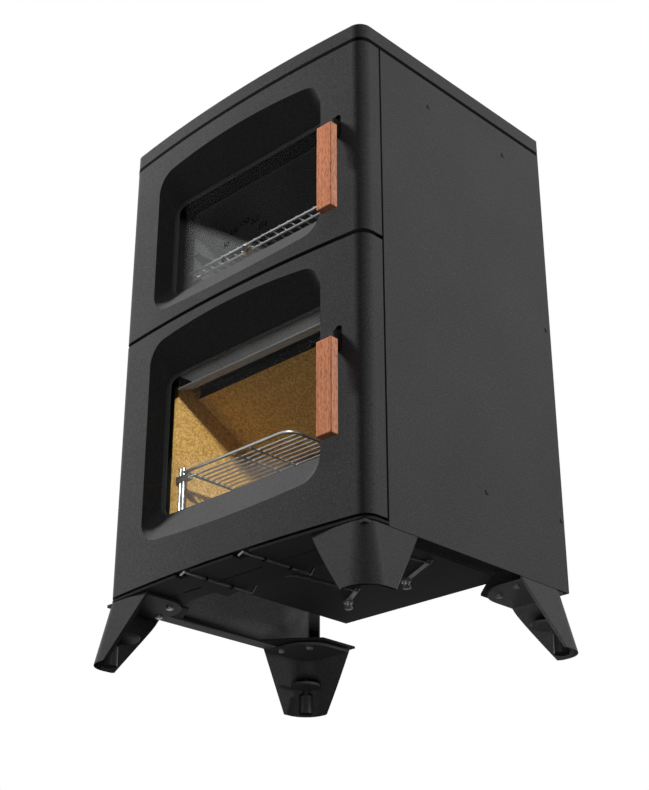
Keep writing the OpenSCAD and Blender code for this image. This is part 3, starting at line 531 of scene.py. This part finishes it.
wood_bar("oven_grip_bar", OVEN_GRIP_TOP, "oven_grip", "oven_handle")
wood_bar("fire_grip_bar", FIRE_GRIP_TOP, "fire_grip", "fire_handle")


# Damper pivots: a turned pin, a nut and a coil spring each

DAMPERS = (("l", -79, 376), ("r", 71, 360))
DAMPER_Z = 145.4                    # lower face of both dampers
PIN = [(0.0026, -0.0150), (0.0030, -0.0145), (0.0030, -0.0036), (0.0080, -0.0034),
       (0.0081, -0.0030), (0.0081, -0.0008), (0.0080, -0.0003), (0.0030, -0.0003),
       (0.0030, 0.0027), (0.0060, 0.0028), (0.0060, 0.0046)]
NUT = [(0.0056, -0.0142), (0.0070, -0.0134), (0.0070, -0.0098), (0.0056, -0.0090)]
SPRING_R, SPRING_WIRE = 4.7, 0.00055
SPRING_LOW, SPRING_RISE = 8.2, 4.3  # from the damper down to the spring, and up along it
TURNS, TURN_STEPS = 5, 24


def spring_line(x, y):
    """The points of a coil spring below a damper's pivot."""
    points = []
    for k in range(TURNS * TURN_STEPS + 1):
        turn = 2 * math.pi * k / TURN_STEPS
        points.append(at(x + SPRING_R * math.cos(turn), y + SPRING_R * math.sin(turn),
                         DAMPER_Z - SPRING_LOW + SPRING_RISE * k / (TURNS * TURN_STEPS)))
    return points


for letter, x, y in DAMPERS:
    place = at(x, y, DAMPER_Z)
    for piece in (
        turned("pivot_" + letter, PIN, place, (0, 0, 1), ZINC, "stove"),
        turned("pivot_nut_" + letter, NUT, place, (0, 0, 1), ZINC, "stove", sides=6),
        tube("pivot_spring_" + letter, spring_line(x, y), SPRING_WIRE, ZINC, "stove"),
    ):
        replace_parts(piece, "damper_pivots")


# Camera, from a fit to the photograph

CAMERA_AT = Vector((1.6719, -1.7304, -0.6687))
CAMERA_LOOKS = Vector((-0.62929, 0.64682, 0.43083))
CAMERA_LENS = 68.43

camera = bpy.data.objects.new("camera", bpy.data.cameras.new("camera"))
camera.data.lens = CAMERA_LENS
camera.data.sensor_width = 36
camera.data.clip_end = 50
camera.location = CAMERA_AT
camera.rotation_euler = CAMERA_LOOKS.to_track_quat("-Z", "Y").to_euler()
SCENE.collection.objects.link(camera)
SCENE.camera = camera


# Floor and world

FLOOR_HALF = 6.0
FLOOR_Z = -0.0005
FADE_START, FADE_END = 0.14, 0.33   # where the floor fades out, as shares of its half width
WORLD_LIGHT = 0.035                 # the world's strength for everything but the eye and gloss


def floor_material():
    """Pale floor that is seen only from above, so that a low camera looks past it."""
    m = Mat("pale_floor")
    path = m.add("ShaderNodeLightPath").outputs
    shown = m.math("MAXIMUM", path["Is Camera Ray"], path["Is Transmission Ray"])
    unseen = m.mix(path["Is Glossy Ray"], (0.045, 0.045, 0.045), (0.30, 0.30, 0.30))
    m.surface(m.mix(shown, unseen, (0.80, 0.80, 0.80)),
              m.grey(m.noise(30), (0.3, 0.75), (0.7, 0.9)), specular=0.1)
    below = m.add("ShaderNodeNewGeometry").outputs["Backfacing"]
    reach = m.add("ShaderNodeVectorMath")
    reach.operation = "LENGTH"
    m.link(m.coord, reach.inputs[0])
    share = m.math("DIVIDE", reach.outputs["Value"], FLOOR_HALF)
    fade = m.math("MULTIPLY", m.grey(share, (FADE_START, 0.0), (FADE_END, 1.0)), shown)
    clear = m.add("ShaderNodeBsdfTransparent").outputs[0]
    faded = m.mix_shader(m.math("MAXIMUM", below, fade), m.bsdf.outputs[0], clear)
    m.link(faded, m.out.inputs["Surface"])
    return m.mat


corners = [(FLOOR_HALF * x, FLOOR_HALF * y, 0) for x, y in ((-1, -1), (1, -1), (1, 1), (-1, 1))]
mesh = bpy.data.meshes.new("floor")
mesh.from_pydata(corners, [], [(0, 1, 2, 3)])
mesh.materials.append(floor_material())
floor = bpy.data.objects.new("floor", mesh)
floor.location = (0, 0, FLOOR_Z)
SCENE.collection.objects.link(floor)


def studio_world():
    """White to the camera, through glass and in gloss, and a weak even light for the rest."""
    world = bpy.data.worlds.new("studio")
    world.use_nodes = True
    tree = world.node_tree
    path = tree.nodes.new("ShaderNodeLightPath").outputs
    shown = path["Is Camera Ray"]
    for ray in ("Is Transmission Ray", "Is Glossy Ray"):
        either = tree.nodes.new("ShaderNodeMath")
        either.operation = "MAXIMUM"
        tree.links.new(shown, either.inputs[0])
        tree.links.new(path[ray], either.inputs[1])
        shown = either.outputs[0]
    level = tree.nodes.new("ShaderNodeMapRange")
    level.inputs["To Min"].default_value = WORLD_LIGHT
    level.inputs["To Max"].default_value = 1.0
    tree.links.new(shown, level.inputs["Value"])
    background = tree.nodes["Background"]
    background.inputs["Color"].default_value = (1, 1, 1, 1)
    tree.links.new(level.outputs[0], background.inputs["Strength"])
    return world


SCENE.world = studio_world()


# Lamps

FRONT_LAMP = (2.0, -2.5, 1.9)       # where the lamps for the windows stand
UNDER_LAMP = (1.1, -1.2, -0.9)      # where the lamps for the underside stand
LOW_LAMP = (1.5, -1.7, -0.3)        # where the lamps that look up into the windows stand
OVEN = ("oven_liner", "oven_rail_left", "oven_rail_right")


def area(name, place, target, size, power, gloss=True):
    """A rectangular lamp that points at a target and isn't seen itself."""
    data = bpy.data.lights.new(name, "AREA")
    data.shape = "RECTANGLE"
    data.size, data.size_y = size
    data.energy = power
    lamp = bpy.data.objects.new(name, data)
    lamp.location = place
    lamp.rotation_euler = (Vector(target) - Vector(place)).to_track_quat("-Z", "Y").to_euler()
    lamp.visible_glossy = gloss
    lamp.visible_camera = False
    SCENE.collection.objects.link(lamp)
    return lamp


key = area("key", (-2.4, -1.5, 3.4), (0, 0, 0.5), (0.9, 0.9), 470, gloss=False)
area("side", (3.2, 2.0, 2.4), (0, 0, 0.5), (1.2, 1.2), 78)
area("low_side", (3.4, 1.6, 0.15), (0, 0, 0.15), (0.8, 0.5), 78, gloss=False)
area("low_front", (1.9, -2.2, 2.4), (0, 0, 0.4), (0.4, 0.4), 12, gloss=False)

# What casts the key lamp's shadows: all nodes but the panes, and not the grip bars or the floor

SHADES = bpy.data.collections.new("shades")
for name, node in NODES.items():
    if name not in ("oven_glass", "fire_glass"):
        SHADES.objects.link(node)
key.light_linking.blocker_collection = SHADES


def only_on(lamp, names, through_floor=False):
    """Lets a lamp light only some nodes or pieces, and lets it shine up from under the floor."""
    group = bpy.data.collections.new(lamp.name + "_on")
    for name in names:
        group.objects.link(NODES[name] if name in NODES else bpy.data.objects[name])
    lamp.light_linking.receiver_collection = group
    if through_floor:
        lamp.light_linking.blocker_collection = SHADES


only_on(area("window", FRONT_LAMP, (0, 0, 0.4), (0.25, 0.25), 165),
        (*OVEN, "oven_rack", "fire_brick_left", "fire_brick_right", "fire_brick_back", "baffle",
         "fire_grate", "hearth_shelf", "grill", "grill_post"))
only_on(area("oven_window", FRONT_LAMP, (0, 0, 0.7), (0.25, 0.25), 70, gloss=False), OVEN)
only_on(area("under", UNDER_LAMP, (-0.1, 0.1, 0.15), (0.6, 0.6), 22, gloss=False),
        ("side_panel_left", "base_frame", "ash_box", "hearth_shelf", "case_left", "case_back",
         "leg_rear_left", "leg_rear_right", "back_panel", "levelling_feet"), through_floor=True)
only_on(area("under_side", UNDER_LAMP, (-0.3, 0.1, 0.15), (0.6, 0.6), 15, gloss=False),
        ("side_panel_left", "ash_box", "leg_rear_right"), through_floor=True)
only_on(area("grip_front", (1.7, -1.8, 0.8), (0.25, -0.27, 0.5), (0.4, 0.4), 7, gloss=False),
        ("oven_grip_bar", "fire_grip_bar"))
only_on(area("under_metal", (0.9, -1.3, -0.7), (0, 0.1, 0.15), (0.25, 0.25), 9),
        ("pivot_l", "pivot_r", "pivot_nut_l", "pivot_nut_r", "pivot_spring_l", "pivot_spring_r",
         "leg_screws"), through_floor=True)
only_on(area("low_window", LOW_LAMP, (0, -0.1, 0.45), (0.5, 0.5), 4, gloss=False),
        ("baffle", "fire_brick_back"), through_floor=True)
only_on(area("rims", LOW_LAMP, (0, -0.1, 0.5), (0.5, 0.5), 24, gloss=False),
        ("fire_glass_frame", "oven_glass_frame", "fire_seal", "oven_seal", "air_wash_deflector"),
        through_floor=True)

SCENE.view_settings.view_transform = "Standard"
